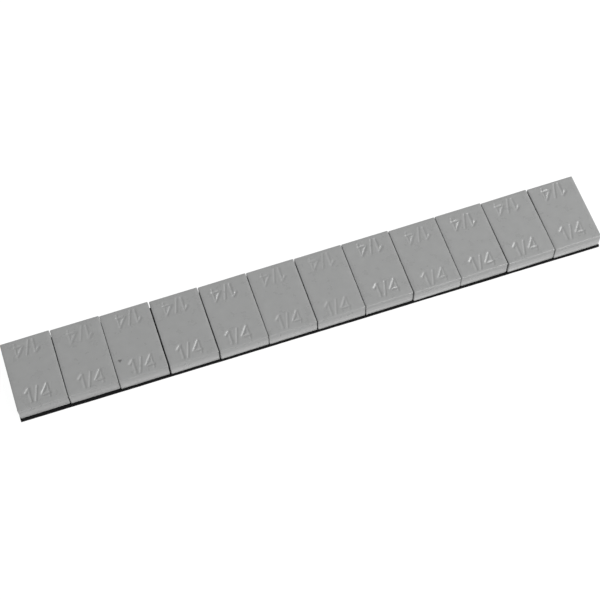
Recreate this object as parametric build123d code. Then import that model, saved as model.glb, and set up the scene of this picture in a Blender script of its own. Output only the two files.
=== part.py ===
from build123d import *
import os
from math import cos, radians, tan

# Adhesive wheel balance weight strip: twelve quarter-ounce steel weights in a row on one foam tape.
# X runs along the strip, Y across it, and Z up from the side that sticks to the wheel rim.
# The origin is the middle of the underside. All sizes are in millimetres.

# Steel weights, all of one pattern
WEIGHT_LENGTH = 12.0  # along the strip
WEIGHT_WIDTH = 18.1  # across the strip
WEIGHT_THICKNESS = 4.17
CORNER_RADIUS = 0.25  # upright edges
TOP_EDGE_RADIUS = 0.2  # edge round the top face, less than the corners' radius

# Lay of the row on the tape, weight by weight from the left end
TURNS = (0.5, 0.3, 0.5, 0.5, 0.7, 0.5, 0.5, 0.5, 0.7, 0.6, 1.1, 0.6)  # degrees about the upright
SLIPS = (0.23, 0.17, 0.03, -0.04, -0.08, -0.05, -0.05, 0.0, -0.13, 0.02, -0.05, -0.05)  # across
GAPS = (0.12, 0.05, 0.29, 0.17, 0.07, 0.16, 0.10, 0.09, 0.06, 0.05, 0.05)  # narrowest, to the next one

# Foam tape, which carries the whole row
TAPE_THICKNESS = 0.9
TAPE_SIDE_MARGIN = 0.25  # beyond the weights' width, on each side
TAPE_END_MARGIN = 0.05  # beyond the row, at each end

# Release liner over the adhesive, cut flush with the tape
LINER_THICKNESS = 0.1


def weight_solid():
    """One weight with its foot on the plane z = 0 and its middle over the origin. The foot stays sharp."""
    low = (Align.CENTER, Align.CENTER, Align.MIN)
    slab = Box(WEIGHT_LENGTH, WEIGHT_WIDTH, WEIGHT_THICKNESS, align=low)
    slab = fillet(slab.edges().filter_by(Axis.Z), CORNER_RADIUS)
    return fillet(slab.edges().group_by(Axis.Z)[-1], TOP_EDGE_RADIUS)


def row_places():
    """Middles of the weights along the row, centred on x = 0.

    Two neighbours stand apart by half a turned length each, by what their turns and slips take up at
    the end of the joint where they come closest, and by the gap.
    """
    places = [0.0]
    lays = list(zip(TURNS, SLIPS))
    for (turn, slip), (next_turn, next_slip), gap in zip(lays, lays[1:], GAPS):
        turn, next_turn = radians(turn), radians(next_turn)
        halves = WEIGHT_LENGTH / 2 * (1 / cos(turn) + 1 / cos(next_turn))
        taken_up = [
            (end - next_slip) * tan(next_turn) - (end - slip) * tan(turn)
            for end in (-WEIGHT_WIDTH / 2, WEIGHT_WIDTH / 2)
        ]
        places.append(places[-1] + halves + max(taken_up) + gap)
    middle = (places[0] + places[-1]) / 2
    return [place - middle for place in places]


def strip_layer(thickness, height):
    """A flat strip as long and wide as the tape, from the given height upwards."""
    low = (Align.CENTER, Align.CENTER, Align.MIN)
    return Pos(0, 0, height) * Box(TAPE_LENGTH, TAPE_WIDTH, thickness, align=low)


ROW = row_places()
TAPE_LENGTH = ROW[-1] - ROW[0] + WEIGHT_LENGTH + 2 * TAPE_END_MARGIN
TAPE_WIDTH = WEIGHT_WIDTH + 2 * TAPE_SIDE_MARGIN
TAPE_TOP = LINER_THICKNESS + TAPE_THICKNESS

os.makedirs("parts", exist_ok=True)

# Liner and tape lie one on the other, with the weights on top
export_step(strip_layer(LINER_THICKNESS, 0), "parts/release_liner.step")
export_step(strip_layer(TAPE_THICKNESS, LINER_THICKNESS), "parts/foam_tape.step")

weight = weight_solid()
for number, (place, slip, turn) in enumerate(zip(ROW, SLIPS, TURNS), start=1):
    laid = Pos(place, slip, TAPE_TOP) * Rot(0, 0, turn) * weight
    export_step(laid, f"parts/weight_{number:02d}.step")
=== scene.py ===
import bpy
import numpy as np
from mathutils import Matrix, Vector


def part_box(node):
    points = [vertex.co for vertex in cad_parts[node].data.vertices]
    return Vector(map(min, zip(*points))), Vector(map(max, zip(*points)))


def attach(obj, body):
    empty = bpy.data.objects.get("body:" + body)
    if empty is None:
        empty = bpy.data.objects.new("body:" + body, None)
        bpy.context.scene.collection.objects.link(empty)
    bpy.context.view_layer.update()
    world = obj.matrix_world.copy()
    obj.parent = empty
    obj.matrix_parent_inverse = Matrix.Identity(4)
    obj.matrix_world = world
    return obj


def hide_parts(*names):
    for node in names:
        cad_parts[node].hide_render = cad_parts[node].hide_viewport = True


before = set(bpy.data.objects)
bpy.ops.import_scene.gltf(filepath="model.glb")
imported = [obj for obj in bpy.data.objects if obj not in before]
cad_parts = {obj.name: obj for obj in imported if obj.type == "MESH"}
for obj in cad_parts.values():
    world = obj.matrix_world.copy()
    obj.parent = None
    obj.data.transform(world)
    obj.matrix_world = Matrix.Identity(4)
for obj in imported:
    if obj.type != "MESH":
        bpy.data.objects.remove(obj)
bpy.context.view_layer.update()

bl_info = {
    "name": "Wheel Balance Weight Strip",
    "version": (1, 0, 0),
    "blender": (4, 5, 0),
    "location": "3D View > Sidebar > Balance Strip",
    "description": "Dresses a strip of adhesive wheel balance weights and sets its stage",
    "category": "Object",
}

MM = 0.001
WEIGHTS = sorted(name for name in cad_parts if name.startswith("weight_"))
TAPE_LOW, TAPE_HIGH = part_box("foam_tape")

# The stamped fraction: straight strokes from point to point, in millimetres from the middle of a weight's
# top face, as it reads from the front of the strip. The last two numbers are a stroke's shares of the full
# width and depth.
MARK_STROKES = (
    ((-2.90, -5.30), (-2.10, -4.50), 1.25, 1.25),  # flag of the one
    ((-2.10, -4.50), (-2.10, -7.80), 1.0, 1.0),  # stem of the one
    ((0.00, -4.40), (-1.05, -7.95), 0.85, 0.85),  # slash
    ((2.25, -4.50), (0.65, -6.75), 1.1, 1.1),  # slope of the four
    ((1.00, -6.92), (2.50, -6.92), 1.0, 1.35),  # bar of the four
    ((2.35, -4.50), (2.35, -7.80), 0.75, 0.75),  # stem of the four
)

# Section of a stroke, in shares of its half width
GROOVE_BOTTOM = 0.25  # rounding of the bottom
GROOVE_LIP = 0.1  # rounding of the lips
RIM_PLACE = 1.6  # from the middle of the stroke to the crest of the rim
RIM_WIDTH = 0.35

# How far each weight's two stamps miss their places, along and across the strip in millimetres, and how
# hard each of the two was struck. The back stamp is the front one turned by half a turn.
FRONT_MISSES = (
    (-0.15, 0.2), (0.4, -0.25), (0.55, -0.25), (-0.15, -0.15), (-0.45, -0.15), (0.05, -0.15),
    (-0.05, -0.5), (0.5, 0.4), (0.3, -0.3), (0.45, -0.25), (-0.3, 0.25), (0.05, 0.65),
)
BACK_MISSES = (
    (0.35, -0.05), (-0.35, 0.4), (-0.35, -0.05), (0.55, 0.35), (0.65, 0.55), (0.3, 0.25),
    (0.05, 0.05), (-0.15, 0.1), (-0.15, 0.65), (0.05, 0.8), (0.5, 0.15), (0.2, -0.2),
)
FRONT_STRIKES = (1.03, 0.84, 0.82, 0.86, 0.83, 0.63, 0.51, 0.82, 0.6, 0.78, 0.73, 0.68)
BACK_STRIKES = (0.78, 0.58, 0.76, 0.75, 0.86, 0.58, 0.48, 0.8, 0.58, 0.77, 0.63, 0.8)

# How plainly the dark lines along its sides show on each weight
SIDE_LINES = (0.1, 0.1, 0.15, 0.2, 0.3, 0.4, 0.7, 1.0, 0.9, 0.8, 1.0, 0.9)

# Coat on the sheared sides, with painted light that makes it lighter towards the foot. The way down a side
# counts from nought at its top to one at its foot.
PAINTED_LIGHT_FROM = 0.27  # way down at which the painted light starts to lighten the coat
LINE_WAVES = 2.5  # waves down a side, with a dark line in the trough of each
LINE_WANDER_SCALE = 90.0  # noise that bends the lines
LINE_WANDER_DETAIL = 1.0
LINE_EDGE = 0.5  # a line shows where the wave is lower than this
LINE_STRENGTH = 0.19  # share of the dark colour in the middle of a plain line

# A chip in the coat of one weight, in millimetres from the middle of the top face
CHIPPED_WEIGHT = "weight_03"
CHIP_PLACE = (-4.4, -3.9)
CHIP_HALF_SIZE = (0.55, 0.45)
CHIP_DEPTH = 0.05
CHIP_WAVES = ((3.0, 0.18, 0.6), (7.0, 0.1, 0.0))  # times round its edge, share of its radius, phase
CHIP_FADE = 0.6  # width of its soft edge as a share of its radius

# Reading of a weight's lay from its CAD node
TURN_LIMIT = 3.0  # degrees to either side
TURN_TRIES = 1201
FLAT_TOLERANCE = 0.002 * MM

# Meshes
SIDE_RING_DROP = 0.02 * MM  # from the top edge to a close ring that keeps a side's shading flat
WEIGHT_SHARP_ANGLE = 60.0  # degrees
TAPE_SHARP_ANGLE = 50.0

# Sides of the tape
SWELL_POWER = 0.25  # a low power makes the swollen side blunt
FRONT_WAVES = ((0.5, 0.21, 0.0), (0.3, 0.57, 1.0), (0.2, 1.9, 0.0))  # share, radians per millimetre, phase
BACK_WAVES = ((0.5, 0.18, 2.0), (0.3, 0.63, 0.0), (0.2, 2.2, 1.0))

# Noises that all finishes share
NOISES = (("Mottle", 300.0, 4.0, 0.6), ("Grain", 4000.0, 2.0, 0.5))  # name, usual scale, detail, roughness
NOISE_SPREAD = (0.3, 0.7)  # values of a noise that are spread over 0 to 1

# Floor
FLOOR_BOUNCE = 0.42  # grey that lights the strip from below
FLOOR_FAINT = 0.12  # grey that keeps the shadow in view
FLOOR_GLOW = 0.94

CAMERA_NEAR = 10.0 * MM


class WeightSettings(bpy.types.PropertyGroup):
    """Sizes and colours of the stamped steel weights."""

    coat_colour: bpy.props.FloatVectorProperty(
        name="Coat", description="Colour of the grey coat", subtype="COLOR", size=3,
        default=(0.272, 0.275, 0.273), min=0.0, max=1.0)
    chip_colour: bpy.props.FloatVectorProperty(
        name="Chip", description="Colour of the bare spot in the coat", subtype="COLOR", size=3,
        default=(0.1, 0.1, 0.1), min=0.0, max=1.0)
    # Painted light: the sides' coat turns to this lighter colour towards their foot
    painted_foot_light_colour: bpy.props.FloatVectorProperty(
        name="Sheared", description="Colour of the thin coat at the foot of the sheared sides",
        subtype="COLOR", size=3, default=(0.51, 0.512, 0.51), min=0.0, max=1.0)
    stamp_depth: bpy.props.FloatProperty(
        name="Stamp Depth", description="Depth of a hard struck stroke", unit="LENGTH",
        default=0.17 * MM, precision=5)
    stroke_half_width: bpy.props.FloatProperty(
        name="Stroke Half Width", description="From the middle of a stroke to its edge", unit="LENGTH",
        default=0.42 * MM, precision=5)
    rim_share: bpy.props.FloatProperty(
        name="Raised Rim", description="Height of the rim that a stroke pushes up, as a share of its depth",
        subtype="FACTOR", default=0.08, min=0.0, max=1.0)
    roll_depth: bpy.props.FloatProperty(
        name="Roll Depth", description="How far blanking drew the top face down at its edges", unit="LENGTH",
        default=0.09 * MM, precision=5)
    roll_width: bpy.props.FloatProperty(
        name="Roll Width", description="From a side to where the top face turns down", unit="LENGTH",
        default=1.0 * MM, precision=5)
    fine_step: bpy.props.FloatProperty(
        name="Fine Step", description="Grid step on the stamped parts of the top face", unit="LENGTH",
        default=0.07 * MM, precision=5)
    coarse_step: bpy.props.FloatProperty(
        name="Coarse Step", description="Grid step on the plain part of the top face", unit="LENGTH",
        default=0.4 * MM, precision=5)
    plain_half: bpy.props.FloatProperty(
        name="Plain Half Width", description="Half width of the plain middle of the top face",
        unit="LENGTH", default=2.4 * MM, precision=5)
    edge_steps: bpy.props.IntProperty(
        name="Edge Steps", description="Steps round an edge", default=6, min=2)


class TapeSettings(bpy.types.PropertyGroup):
    """Sizes and colours of the foam tape and its liner."""

    foam_colour: bpy.props.FloatVectorProperty(
        name="Foam", description="Colour of the foam", subtype="COLOR", size=3,
        default=(0.006, 0.006, 0.0065), min=0.0, max=1.0)
    liner_colour: bpy.props.FloatVectorProperty(
        name="Liner", description="Colour of the release liner", subtype="COLOR", size=3,
        default=(0.8, 0.79, 0.75), min=0.0, max=1.0)
    bulge: bpy.props.FloatProperty(
        name="Bulge", description="How far the squeezed foam swells out at its sides", unit="LENGTH",
        default=0.17 * MM, precision=5)
    lean: bpy.props.FloatProperty(
        name="Lean", description="How far the tape lies to the front at its left end and back at its right",
        unit="LENGTH", default=0.03 * MM, precision=5)
    wander: bpy.props.FloatProperty(
        name="Wander", description="How far the cut edges wander along the strip", unit="LENGTH",
        default=0.03 * MM, precision=5)
    stations: bpy.props.IntProperty(
        name="Stations", description="Cross-sections along the strip", default=290, min=2)
    side_steps: bpy.props.IntProperty(
        name="Side Steps", description="Steps up a side of a cross-section", default=8, min=2)


class StageSettings(bpy.types.PropertyGroup):
    """Camera, light and floor."""

    azimuth: bpy.props.FloatProperty(
        name="Azimuth", description="Where the camera stands round the strip, in degrees", default=-15.681)
    elevation: bpy.props.FloatProperty(
        name="Elevation", description="Height of the camera, in degrees", default=63.002)
    roll: bpy.props.FloatProperty(
        name="Roll", description="Turn of the camera about its own view, in degrees", default=-2.672)
    distance: bpy.props.FloatProperty(
        name="Distance", description="From the camera to its target", unit="LENGTH", default=358.7 * MM)
    target: bpy.props.FloatVectorProperty(
        name="Target", description="Point in the middle of the picture", subtype="XYZ", size=3,
        unit="LENGTH", default=(-1.21 * MM, 0.287 * MM, 0.0))
    lens: bpy.props.FloatProperty(
        name="Lens", description="Focal length in millimetres", default=88.753)
    key_place: bpy.props.FloatVectorProperty(
        name="Key Place", description="Middle of the soft light from the right", subtype="XYZ", size=3,
        unit="LENGTH", default=(0.87, -0.08, 0.985))
    key_power: bpy.props.FloatProperty(
        name="Key Power", description="Power of the light from the right in watts", default=5.62)
    key_size: bpy.props.FloatVectorProperty(
        name="Key Size", description="Width and height of the light from the right", size=2, unit="LENGTH",
        default=(0.515, 0.515))
    fill_place: bpy.props.FloatVectorProperty(
        name="Fill Place", description="Middle of the soft light from the front", subtype="XYZ", size=3,
        unit="LENGTH", default=(0.215, -0.28, 0.51))
    fill_power: bpy.props.FloatProperty(
        name="Fill Power", description="Power of the light from the front in watts", default=0.8)
    fill_size: bpy.props.FloatVectorProperty(
        name="Fill Size", description="Width and height of the light from the front", size=2, unit="LENGTH",
        default=(0.18, 0.1))
    low_place: bpy.props.FloatVectorProperty(
        name="Low Place", description="Middle of the low light from the front and right", subtype="XYZ",
        size=3, unit="LENGTH", default=(0.36, -0.31, 0.155))
    low_power: bpy.props.FloatProperty(
        name="Low Power", description="Power of the low light in watts", default=1.5)
    low_size: bpy.props.FloatVectorProperty(
        name="Low Size", description="Width and height of the low light", size=2, unit="LENGTH",
        default=(0.8, 0.28))
    sky: bpy.props.FloatProperty(
        name="Sky", description="Strength of the even light from all round", default=0.575)
    floor_half: bpy.props.FloatProperty(
        name="Floor Half Side", description="From the middle of the floor to its sides", unit="LENGTH",
        default=6.0)


# Mesh helpers


def new_piece(name, points, quads, triangles, material):
    """A mesh object at the origin from an array of points, an array of quads and an array of triangles."""
    mesh = bpy.data.meshes.new(name)
    mesh.from_pydata(points.tolist(), [], quads.tolist() + triangles.tolist())
    mesh.validate()
    mesh.materials.append(material)
    mesh.shade_smooth()
    piece = bpy.data.objects.new(name, mesh)
    bpy.context.scene.collection.objects.link(piece)
    return piece


def grid_quads(index):
    """Quads between neighbouring rows and columns of an array of point numbers, turned to face along the
    cross product of the direction along a row and the direction from row to row."""
    corners = (index[:-1, :-1], index[:-1, 1:], index[1:, 1:], index[1:, :-1])
    return np.stack([corner.ravel() for corner in corners], axis=1)


def node_points(name):
    """Corner points of a CAD node's mesh in the row frame, in metres."""
    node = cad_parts[name]
    points = np.empty(len(node.data.vertices) * 3)
    node.data.vertices.foreach_get("co", points)
    place = np.array(node.matrix_world)
    return points.reshape(-1, 3) @ place[:3, :3].T + place[:3, 3]


def weight_lay(name):
    """Where and how a weight lies, read from its CAD node.

    The turn is the one, within a few degrees, that gives the smallest box round all its points. In that
    turned frame the box gives the size. The flat top lacks the edge radius of it on each side, and the
    flat of an end lacks the corner radius.
    """
    points = node_points(name)
    foot, top = points[:, 2].min(), points[:, 2].max()
    turns = np.radians(np.linspace(-TURN_LIMIT, TURN_LIMIT, TURN_TRIES))
    along = points[:, :1] * np.cos(turns) + points[:, 1:2] * np.sin(turns)
    across = points[:, 1:2] * np.cos(turns) - points[:, :1] * np.sin(turns)
    turn = turns[np.argmin(np.ptp(along, axis=0) * np.ptp(across, axis=0))]
    axes = np.array([[np.cos(turn), np.sin(turn)], [-np.sin(turn), np.cos(turn)]])
    turned = points[:, :2] @ axes.T
    middle = (turned.max(axis=0) + turned.min(axis=0)) / 2
    turned -= middle
    half = turned.max(axis=0)
    flat_top = np.abs(turned[points[:, 2] > top - FLAT_TOLERANCE]).max(axis=0)
    flat_end = np.abs(turned[turned[:, 0] > half[0] - FLAT_TOLERANCE, 1]).max()
    return {"middle": middle @ axes, "along": axes[0], "across": axes[1], "foot": foot, "top": top,
            "half": half, "edge": float((half - flat_top).mean()), "corner": float(half[1] - flat_end)}


# Weights


def stroke_distances(u, v):
    """Distance from each point of a grid to each stroke of the mark, in metres, stroke by stroke.

    The point is dropped onto the line through the stroke's two ends, held between them, and the distance
    is the length of what is left.
    """
    ends = np.array([stroke[:2] for stroke in MARK_STROKES]) * MM
    start, run = ends[:, 0], ends[:, 1] - ends[:, 0]
    du = u[None] - start[:, 0, None, None]
    dv = v[None] - start[:, 1, None, None]
    run_u, run_v = run[:, 0, None, None], run[:, 1, None, None]
    share = np.clip((du * run_u + dv * run_v) / (run_u ** 2 + run_v ** 2), 0.0, 1.0)
    return np.hypot(du - share * run_u, dv - share * run_v)


def stamped_height(u, v, stamps, settings):
    """Height of the stamped top face over the flat one.

    A stamp is its turn, its miss and its strike. A stroke is a V groove: with q the distance from its
    middle over its own half width, the depth falls evenly to nought at q = 1. A hypotenuse rounds its
    bottom, and the logarithm of one plus an exponential rounds its lips. The deepest stroke counts.
    Outside, the metal pushed up by the nearest stroke is a low bell round the rim's place. The back mark
    is the front one read after half a turn.
    """
    widths, depths = np.array([stroke[2:] for stroke in MARK_STROKES]).T[:, :, None, None]
    half_widths = widths * settings.stroke_half_width
    height = np.zeros_like(u)
    for turn, miss, strike in stamps:
        q = stroke_distances(turn * u - miss[0] * MM, turn * v - miss[1] * MM) / half_widths
        fall = np.logaddexp(0.0, (1.0 - np.hypot(q, GROOVE_BOTTOM)) / GROOVE_LIP) * GROOVE_LIP
        groove = (depths * fall).max(axis=0) / (1.0 - GROOVE_BOTTOM)
        rim = np.exp(-((q.min(axis=0) - RIM_PLACE) / RIM_WIDTH) ** 2)
        height += strike * settings.stamp_depth * (settings.rim_share * rim - groove)
    return height


def chip_mask(u, v):
    """One inside the chip in the coat and nought outside, with a ragged edge: an ellipse whose radius
    wavers with the angle round it."""
    du = (u - CHIP_PLACE[0] * MM) / (CHIP_HALF_SIZE[0] * MM)
    dv = (v - CHIP_PLACE[1] * MM) / (CHIP_HALF_SIZE[1] * MM)
    angle = np.arctan2(dv, du)
    edge = 1.0 + sum(share * np.sin(times * angle + phase) for times, share, phase in CHIP_WAVES)
    return np.clip((edge - np.hypot(du, dv)) / CHIP_FADE, 0.0, 1.0)


def banded_steps(half, plain_half, fine, coarse):
    """Grid lines from -half to half that are close together outside the plain middle. Lines that agree to
    nine decimals of a metre are one."""
    middle = np.arange(-plain_half, plain_half, coarse)
    outer = np.linspace(plain_half, half, int(np.ceil((half - plain_half) / fine)) + 1)
    return np.unique(np.concatenate([-outer, middle, outer]).round(9))


def edge_roll(inset, settings):
    """How far the top face is drawn down at a distance in from the sides: the roll depth times the square
    of what is left of the roll width."""
    return settings.roll_depth * np.clip(1.0 - inset / settings.roll_width, 0.0, 1.0) ** 2


def edge_profile(lay, settings):
    """Offsets out from the core of the top and heights, over the top edge and down the side to the foot.

    A flat step to where the edge starts, a quarter circle of the edge radius, then the upright side with
    one close ring below the edge and one at the foot. All but the foot is drawn down with the top face.
    The core is the size less the corner radius all round.
    """
    edge, corner, top = lay["edge"], lay["corner"], lay["top"]
    angle = np.linspace(0.0, np.pi / 2, settings.edge_steps + 1)
    out = np.concatenate([corner - edge + edge * np.sin(angle), [corner, corner]])
    down = np.concatenate([top - edge * (1.0 - np.cos(angle)), [top - edge - SIDE_RING_DROP, lay["foot"]]])
    down[:-1] -= edge_roll(corner - out[:-1], settings)
    return out, down


def grid_border(number, corner_steps):
    """Point numbers round a grid, front side first, and the angle of the way out at each of them.

    The way out is square to each side. At a corner the point comes again for each step of the quarter turn
    from one side's way out to the next.
    """
    swing = np.linspace(0.0, np.pi / 2, corner_steps + 1)[1:-1]
    border, way = [], []
    sides = (number[0], number[:, -1], number[-1, ::-1], number[::-1, 0])
    for side, first_way in zip(sides, (-np.pi / 2, 0.0, np.pi / 2, np.pi)):
        border += [side, np.full(swing.size, side[-1])]
        way += [np.full(side.size, first_way), first_way + swing]
    return np.concatenate(border), np.concatenate(way)


def weight_surface(lay, stamps, lines, chipped, settings):
    """Points, quads, triangles and masks of one stamped weight.

    The core of the top is a grid over along and across, with the stamped height less the roll. Its border
    is then carried out and down along the edge profile. The foot closes with a fan to its middle. The chip
    mask is one in the chip. The sheared mask grows evenly from nought at the top of a side to one at the
    foot, and the lined mask is the strength of the shear lines all over the edge and the sides.
    """
    a, b = lay["half"] - lay["corner"]
    columns = np.linspace(-a, a, int(np.ceil(2 * a / settings.fine_step)) + 1)
    rows = banded_steps(b, settings.plain_half, settings.fine_step, settings.coarse_step)
    u, v = np.meshgrid(columns, rows)
    height = stamped_height(u, v, stamps, settings)
    height -= edge_roll(np.minimum(lay["half"][0] - np.abs(u), lay["half"][1] - np.abs(v)), settings)
    chip = chip_mask(u, v) if chipped else np.zeros_like(u)
    height -= CHIP_DEPTH * MM * chip
    top = np.stack([u.ravel(), v.ravel(), lay["top"] + height.ravel()], axis=1)
    number = np.arange(u.size).reshape(u.shape)

    # Rings round the grid, over the edge and down the sides
    border, way = grid_border(number, settings.edge_steps)
    out, down = edge_profile(lay, settings)
    base = top[border, :2]
    ring_x = base[None, :, 0] + out[:, None] * np.cos(way)[None]
    ring_y = base[None, :, 1] + out[:, None] * np.sin(way)[None]
    ring_z = np.broadcast_to(down[:, None], ring_x.shape)
    rings = np.stack([ring_x.ravel(), ring_y.ravel(), ring_z.ravel()], axis=1)
    foot_middle = np.array([[0.0, 0.0, lay["foot"]]])
    points = np.concatenate([top, rings, foot_middle])

    # Faces: the top grid, the strips from ring to ring, and triangles where a corner starts from one point
    ring_number = u.size + np.arange(ring_x.size).reshape(ring_x.shape)
    levels = np.concatenate([border[None], ring_number])
    levels = np.concatenate([levels, levels[:, :1]], axis=1)
    strips = grid_quads(levels[::-1])
    pinched = strips[:, 2] == strips[:, 3]
    quads = np.concatenate([grid_quads(number), strips[~pinched]])
    last = levels[-1]
    centre = np.full(last.size - 1, len(points) - 1)
    fan = np.stack([last[1:], last[:-1], centre], axis=1)
    triangles = np.concatenate([strips[pinched][:, :3], fan])

    turned = points.copy()
    turned[:, :2] = lay["middle"] + points[:, :1] * lay["along"] + points[:, 1:2] * lay["across"]
    below = (down[-2] - points[:, 2]) / (down[-2] - down[-1])
    below[:u.size] = 0.0
    masks = {"chip": np.concatenate([chip.ravel(), np.zeros(len(points) - u.size)]),
             "sheared": np.clip(below, 0.0, 1.0),
             "lined": np.concatenate([np.zeros(u.size), np.full(len(points) - u.size, lines)])}
    return turned, quads, triangles, masks


# Tape


def wandering(place, waves):
    """Sum of slow sines of the place along the strip."""
    return sum(share * np.sin(rate * place + phase) for share, rate, phase in waves)


def tape_surface(settings):
    """Points, quads and triangles of the foam tape.

    Each cross-section is a rectangle whose two sides swell out as a low power of a half sine of their
    height. It is carried along the strip while it leans evenly from front to back, and while its two cut
    sides wander. Both ends close with a fan.
    """
    low, high = np.array(TAPE_LOW), np.array(TAPE_HIGH)
    share = np.linspace(0.0, 1.0, settings.side_steps + 1)
    swell = settings.bulge * np.abs(np.sin(np.pi * share)) ** SWELL_POWER
    heights = low[2] + share * (high[2] - low[2])
    x = np.linspace(low[0], high[0], settings.stations)
    place = (x - low[0]) / MM
    lean = settings.lean * np.linspace(-1.0, 1.0, settings.stations)
    front = low[1] - swell[None] + (lean + settings.wander * wandering(place, FRONT_WAVES))[:, None]
    back = high[1] + swell[None] + (lean + settings.wander * wandering(place, BACK_WAVES))[:, None]
    y = np.concatenate([front, back[:, ::-1]], axis=1)
    z = np.broadcast_to(np.concatenate([heights, heights[::-1]])[None], y.shape)
    points = np.stack([np.broadcast_to(x[:, None], y.shape).ravel(), y.ravel(), z.ravel()], axis=1)
    middle_height = (low[2] + high[2]) / 2
    ends = np.array([[low[0], 0.0, middle_height], [high[0], 0.0, middle_height]])

    number = np.arange(y.size).reshape(y.shape)
    closed = np.concatenate([number, number[:, :1]], axis=1)
    first, last = closed[0], closed[-1]
    centre = np.full(first.size - 1, y.size)
    triangles = np.concatenate([
        np.stack([first[:-1], first[1:], centre], axis=1),
        np.stack([last[1:], last[:-1], centre + 1], axis=1)])
    return np.concatenate([points, ends]), grid_quads(closed)[:, ::-1], triangles


# Materials


def grey(value):
    """A grey colour with its alpha."""
    return (value, value, value, 1.0)


def add_node(tree, kind, inputs=None, **traits):
    """A new node with the given traits. An input is linked where its value is a socket, and set otherwise.

    The traits come first, because some of them decide which inputs there are.
    """
    node = tree.nodes.new(kind)
    for trait, value in traits.items():
        setattr(node, trait, value)
    for name, value in (inputs or {}).items():
        if isinstance(value, bpy.types.NodeSocket):
            tree.links.new(value, node.inputs[name])
        else:
            node.inputs[name].default_value = value
    return node


def grain_group():
    """A shader group shared by all finishes: slow mottle and fine grain, each a value from 0 to 1."""
    group = bpy.data.node_groups.get("mottle_and_grain")
    if group:
        return group
    group = bpy.data.node_groups.new("mottle_and_grain", "ShaderNodeTree")
    for name, scale, _, _ in NOISES:
        socket = group.interface.new_socket(f"{name} Scale", in_out="INPUT", socket_type="NodeSocketFloat")
        socket.default_value = scale
        group.interface.new_socket(name, in_out="OUTPUT", socket_type="NodeSocketFloat")
    inside = add_node(group, "NodeGroupInput")
    outside = add_node(group, "NodeGroupOutput")
    place = add_node(group, "ShaderNodeTexCoord")
    for name, _, detail, roughness in NOISES:
        noise = add_node(group, "ShaderNodeTexNoise", {
            "Vector": place.outputs["Object"], "Scale": inside.outputs[f"{name} Scale"],
            "Detail": detail, "Roughness": roughness})
        spread = add_node(group, "ShaderNodeMapRange", {
            "Value": noise.outputs["Fac"], "From Min": NOISE_SPREAD[0], "From Max": NOISE_SPREAD[1]})
        group.links.new(spread.outputs["Result"], outside.inputs[name])
    return group


def finish(name, colour, *, swing, roughness, mottle_scale, grain_scale, bump, specular):
    """A material whose colour and roughness follow the mottle and whose surface has the grain.

    The colour goes from one less the swing to one plus the swing times the given colour, and the
    roughness is a pair of limits. bump is the height of the grain in metres.
    """
    material = bpy.data.materials.new(name)
    material.use_nodes = True
    material.diffuse_color = (*colour, 1.0)
    tree = material.node_tree
    grain = add_node(tree, "ShaderNodeGroup", {"Mottle Scale": mottle_scale, "Grain Scale": grain_scale},
                     node_tree=grain_group())
    mottle = grain.outputs["Mottle"]
    dark, light = (np.minimum(np.array(colour) * share, 1.0) for share in (1.0 - swing, 1.0 + swing))
    tone = add_node(tree, "ShaderNodeMix", {"Factor": mottle, "A": (*dark, 1.0), "B": (*light, 1.0)},
                    name="tone", data_type="RGBA")
    gloss = add_node(tree, "ShaderNodeMapRange", {
        "Value": mottle, "To Min": roughness[0], "To Max": roughness[1]})
    relief = add_node(tree, "ShaderNodeBump", {"Height": grain.outputs["Grain"], "Distance": bump})
    shader = tree.nodes["Principled BSDF"]
    shader.inputs["Specular IOR Level"].default_value = specular
    tree.links.new(tone.outputs["Result"], shader.inputs["Base Color"])
    tree.links.new(gloss.outputs["Result"], shader.inputs["Roughness"])
    tree.links.new(relief.outputs["Normal"], shader.inputs["Normal"])
    return material


def coat_material(settings):
    """Grey coat on steel with painted light that makes it lighter down the sheared sides, and with dark
    lines along them and a chip.

    The lines are a cosine of the way down a side, whose phase wanders with a slow noise.
    """
    material = finish("grey_coat", tuple(settings.coat_colour), swing=0.04, roughness=(0.26, 0.32),
                      mottle_scale=420.0, grain_scale=5200.0, bump=0.006 * MM, specular=0.8)
    tree = material.node_tree
    chip, sheared, lined = (
        add_node(tree, "ShaderNodeAttribute", attribute_name=mask).outputs["Fac"]
        for mask in ("chip", "sheared", "lined"))
    painted_foot_light = add_node(tree, "ShaderNodeMapRange", {"Value": sheared, "From Min": PAINTED_LIGHT_FROM})

    place = add_node(tree, "ShaderNodeTexCoord")
    wander = add_node(tree, "ShaderNodeTexNoise", {
        "Vector": place.outputs["Object"], "Scale": LINE_WANDER_SCALE, "Detail": LINE_WANDER_DETAIL})
    phase = add_node(tree, "ShaderNodeMath", {
        0: sheared, 1: LINE_WAVES * 2.0 * np.pi, 2: wander.outputs["Fac"]}, operation="MULTIPLY_ADD")
    wave = add_node(tree, "ShaderNodeMath", {0: phase.outputs["Value"]}, operation="COSINE")
    line = add_node(tree, "ShaderNodeMapRange", {
        "Value": wave.outputs["Value"], "From Min": LINE_EDGE, "From Max": -1.0, "To Max": LINE_STRENGTH})
    shown = add_node(tree, "ShaderNodeMath", {0: lined, 1: line.outputs["Result"]}, operation="MULTIPLY")

    coat = tree.nodes["tone"].outputs["Result"]
    layers = (
        # Painted light: the coat turns lighter towards the foot of each side
        (painted_foot_light.outputs["Result"], settings.painted_foot_light_colour),
        (shown.outputs["Value"], settings.chip_colour),
        (chip, settings.chip_colour),
    )
    for mask, colour in layers:
        layer = add_node(tree, "ShaderNodeMix", {"Factor": mask, "A": coat, "B": (*colour, 1.0)},
                         data_type="RGBA")
        coat = layer.outputs["Result"]
    tree.links.new(coat, tree.nodes["Principled BSDF"].inputs["Base Color"])
    return material


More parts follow.
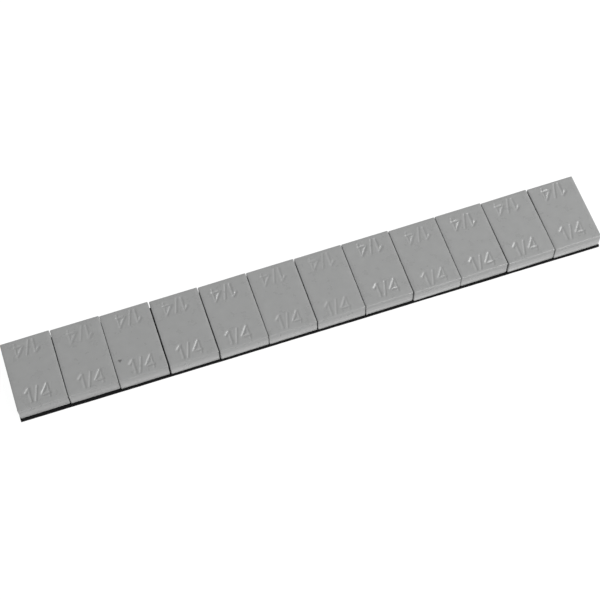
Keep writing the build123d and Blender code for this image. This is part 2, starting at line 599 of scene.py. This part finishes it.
def floor_material():
    """White floor. To the eye, also by way of gloss or glass, it glows almost white, with a faint diffuse
    surface that keeps the shadow. To all other light it is a plain grey diffuse surface."""
    material = bpy.data.materials.new("white_floor")
    material.use_nodes = True
    tree = material.node_tree
    tree.nodes.clear()
    path = add_node(tree, "ShaderNodeLightPath")
    seen = path.outputs["Is Camera Ray"]
    for ray in ("Is Glossy Ray", "Is Transmission Ray"):
        either = add_node(tree, "ShaderNodeMath", {0: seen, 1: path.outputs[ray]}, operation="MAXIMUM")
        seen = either.outputs["Value"]
    bounce = add_node(tree, "ShaderNodeBsdfDiffuse", {"Color": grey(FLOOR_BOUNCE)})
    faint = add_node(tree, "ShaderNodeBsdfDiffuse", {"Color": grey(FLOOR_FAINT)})
    glow = add_node(tree, "ShaderNodeEmission", {"Strength": FLOOR_GLOW})
    shown = add_node(tree, "ShaderNodeAddShader", {0: faint.outputs["BSDF"], 1: glow.outputs["Emission"]})
    mix = add_node(tree, "ShaderNodeMixShader", {
        "Fac": seen, 1: bounce.outputs["BSDF"], 2: shown.outputs["Shader"]})
    add_node(tree, "ShaderNodeOutputMaterial", {"Surface": mix.outputs["Shader"]})
    return material


# Stage


def soft_light(name, place, power, size, in_gloss=True):
    """A flat light at a place, turned so that its -Z axis points at the origin and its height stands up.

    Without in_gloss it lights the surfaces but isn't mirrored in them.
    """
    light = bpy.data.lights.new(name, "AREA")
    light.shape = "RECTANGLE"
    light.energy = power
    light.size, light.size_y = size
    lamp = bpy.data.objects.new(name, light)
    place = Vector(place)
    turn = place.to_track_quat("Z", "Y").to_matrix().to_4x4()
    lamp.matrix_world = Matrix.Translation(place) @ turn
    lamp.visible_glossy = in_gloss
    bpy.context.scene.collection.objects.link(lamp)


def camera_matrix(settings):
    """Camera on a sphere round its target: back is the way from the target to the camera, right is level,
    up is square to both, and the roll then turns right and up about back."""
    azimuth, elevation, roll = np.radians([settings.azimuth, settings.elevation, settings.roll])
    back = np.array([np.sin(azimuth) * np.cos(elevation), -np.cos(azimuth) * np.cos(elevation),
                     np.sin(elevation)])
    right = np.array([np.cos(azimuth), np.sin(azimuth), 0.0])
    up = np.cross(back, right)
    matrix = np.eye(4)
    matrix[:3, 0] = np.cos(roll) * right + np.sin(roll) * up
    matrix[:3, 1] = np.cos(roll) * up - np.sin(roll) * right
    matrix[:3, 2] = back
    matrix[:3, 3] = np.array(settings.target) + settings.distance * back
    return Matrix(matrix.tolist())


# Operators


class STRIP_OT_weights(bpy.types.Operator):
    """Make the stamped weights in place of the plain ones"""

    bl_idname = "balance_strip.weights"
    bl_label = "Stamped Weights"

    def execute(self, context):
        settings = context.scene.strip_weights
        coat = coat_material(settings)
        fronts = [(1.0, *stamp) for stamp in zip(FRONT_MISSES, FRONT_STRIKES, strict=True)]
        backs = [(-1.0, *stamp) for stamp in zip(BACK_MISSES, BACK_STRIKES, strict=True)]
        for name, lines, *stamps in zip(WEIGHTS, SIDE_LINES, fronts, backs, strict=True):
            points, quads, triangles, masks = weight_surface(
                weight_lay(name), stamps, lines, name == CHIPPED_WEIGHT, settings)
            piece = new_piece(f"stamped_{name}", points, quads, triangles, coat)
            piece.data.set_sharp_from_angle(angle=np.radians(WEIGHT_SHARP_ANGLE))
            for mask, values in masks.items():
                piece.data.attributes.new(mask, "FLOAT", "POINT").data.foreach_set("value", values)
            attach(piece, "root")
            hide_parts(name)
        return {"FINISHED"}


class STRIP_OT_tape(bpy.types.Operator):
    """Make the foam tape and finish its liner"""

    bl_idname = "balance_strip.tape"
    bl_label = "Foam Tape and Liner"

    def execute(self, context):
        settings = context.scene.strip_tape
        foam = finish("black_foam", tuple(settings.foam_colour), swing=0.3, roughness=(0.75, 0.9),
                      mottle_scale=900.0, grain_scale=6000.0, bump=0.06 * MM, specular=0.1)
        piece = new_piece("squeezed_foam_tape", *tape_surface(settings), foam)
        piece.data.set_sharp_from_angle(angle=np.radians(TAPE_SHARP_ANGLE))
        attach(piece, "root")
        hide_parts("foam_tape")
        paper = finish("release_paper", tuple(settings.liner_colour), swing=0.03, roughness=(0.45, 0.6),
                       mottle_scale=200.0, grain_scale=3000.0, bump=0.005 * MM, specular=0.4)
        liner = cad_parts["release_liner"]
        liner.data.materials.clear()
        liner.data.materials.append(paper)
        return {"FINISHED"}


class STRIP_OT_stage(bpy.types.Operator):
    """Set the floor, the light and the camera"""

    bl_idname = "balance_strip.stage"
    bl_label = "Stage"

    def execute(self, context):
        scene, settings = context.scene, context.scene.strip_stage
        half = settings.floor_half
        x, y = np.meshgrid([-half, half], [-half, half])
        points = np.stack([x.ravel(), y.ravel(), np.zeros(x.size)], axis=1)
        quads = grid_quads(np.arange(x.size).reshape(x.shape))
        no_triangles = np.empty((0, 3), dtype=int)
        floor = new_piece("floor", points, quads, no_triangles, floor_material())

        soft_light("key", settings.key_place, settings.key_power, settings.key_size)
        soft_light("fill", settings.fill_place, settings.fill_power, settings.fill_size)
        soft_light("low", settings.low_place, settings.low_power, settings.low_size, in_gloss=False)

        world = bpy.data.worlds.new("sky")
        world.use_nodes = True
        sky = world.node_tree.nodes["Background"]
        sky.inputs["Color"].default_value = grey(1.0)
        sky.inputs["Strength"].default_value = settings.sky
        scene.world = world

        lens = bpy.data.cameras.new("camera")
        lens.lens = settings.lens
        lens.clip_start = CAMERA_NEAR
        camera = bpy.data.objects.new("camera", lens)
        camera.matrix_world = camera_matrix(settings)
        scene.collection.objects.link(camera)
        scene.camera = camera
        scene.view_settings.view_transform = "Standard"
        return {"FINISHED"}


class STRIP_PT_panel(bpy.types.Panel):
    """Lists the steps that dress the strip"""

    bl_idname = "STRIP_PT_panel"
    bl_label = "Balance Strip"
    bl_space_type = "VIEW_3D"
    bl_region_type = "UI"
    bl_category = "Balance Strip"

    def draw(self, context):
        for operator in (STRIP_OT_weights, STRIP_OT_tape, STRIP_OT_stage):
            self.layout.operator(operator.bl_idname)


CLASSES = (WeightSettings, TapeSettings, StageSettings, STRIP_OT_weights, STRIP_OT_tape, STRIP_OT_stage,
           STRIP_PT_panel)


def register():
    for cls in CLASSES:
        bpy.utils.register_class(cls)
    bpy.types.Scene.strip_weights = bpy.props.PointerProperty(type=WeightSettings)
    bpy.types.Scene.strip_tape = bpy.props.PointerProperty(type=TapeSettings)
    bpy.types.Scene.strip_stage = bpy.props.PointerProperty(type=StageSettings)


def unregister():
    del bpy.types.Scene.strip_weights
    del bpy.types.Scene.strip_tape
    del bpy.types.Scene.strip_stage
    for cls in reversed(CLASSES):
        bpy.utils.unregister_class(cls)


def main():
    register()
    bpy.ops.balance_strip.weights()
    bpy.ops.balance_strip.tape()
    bpy.ops.balance_strip.stage()


if __name__ == "__main__":
    main()
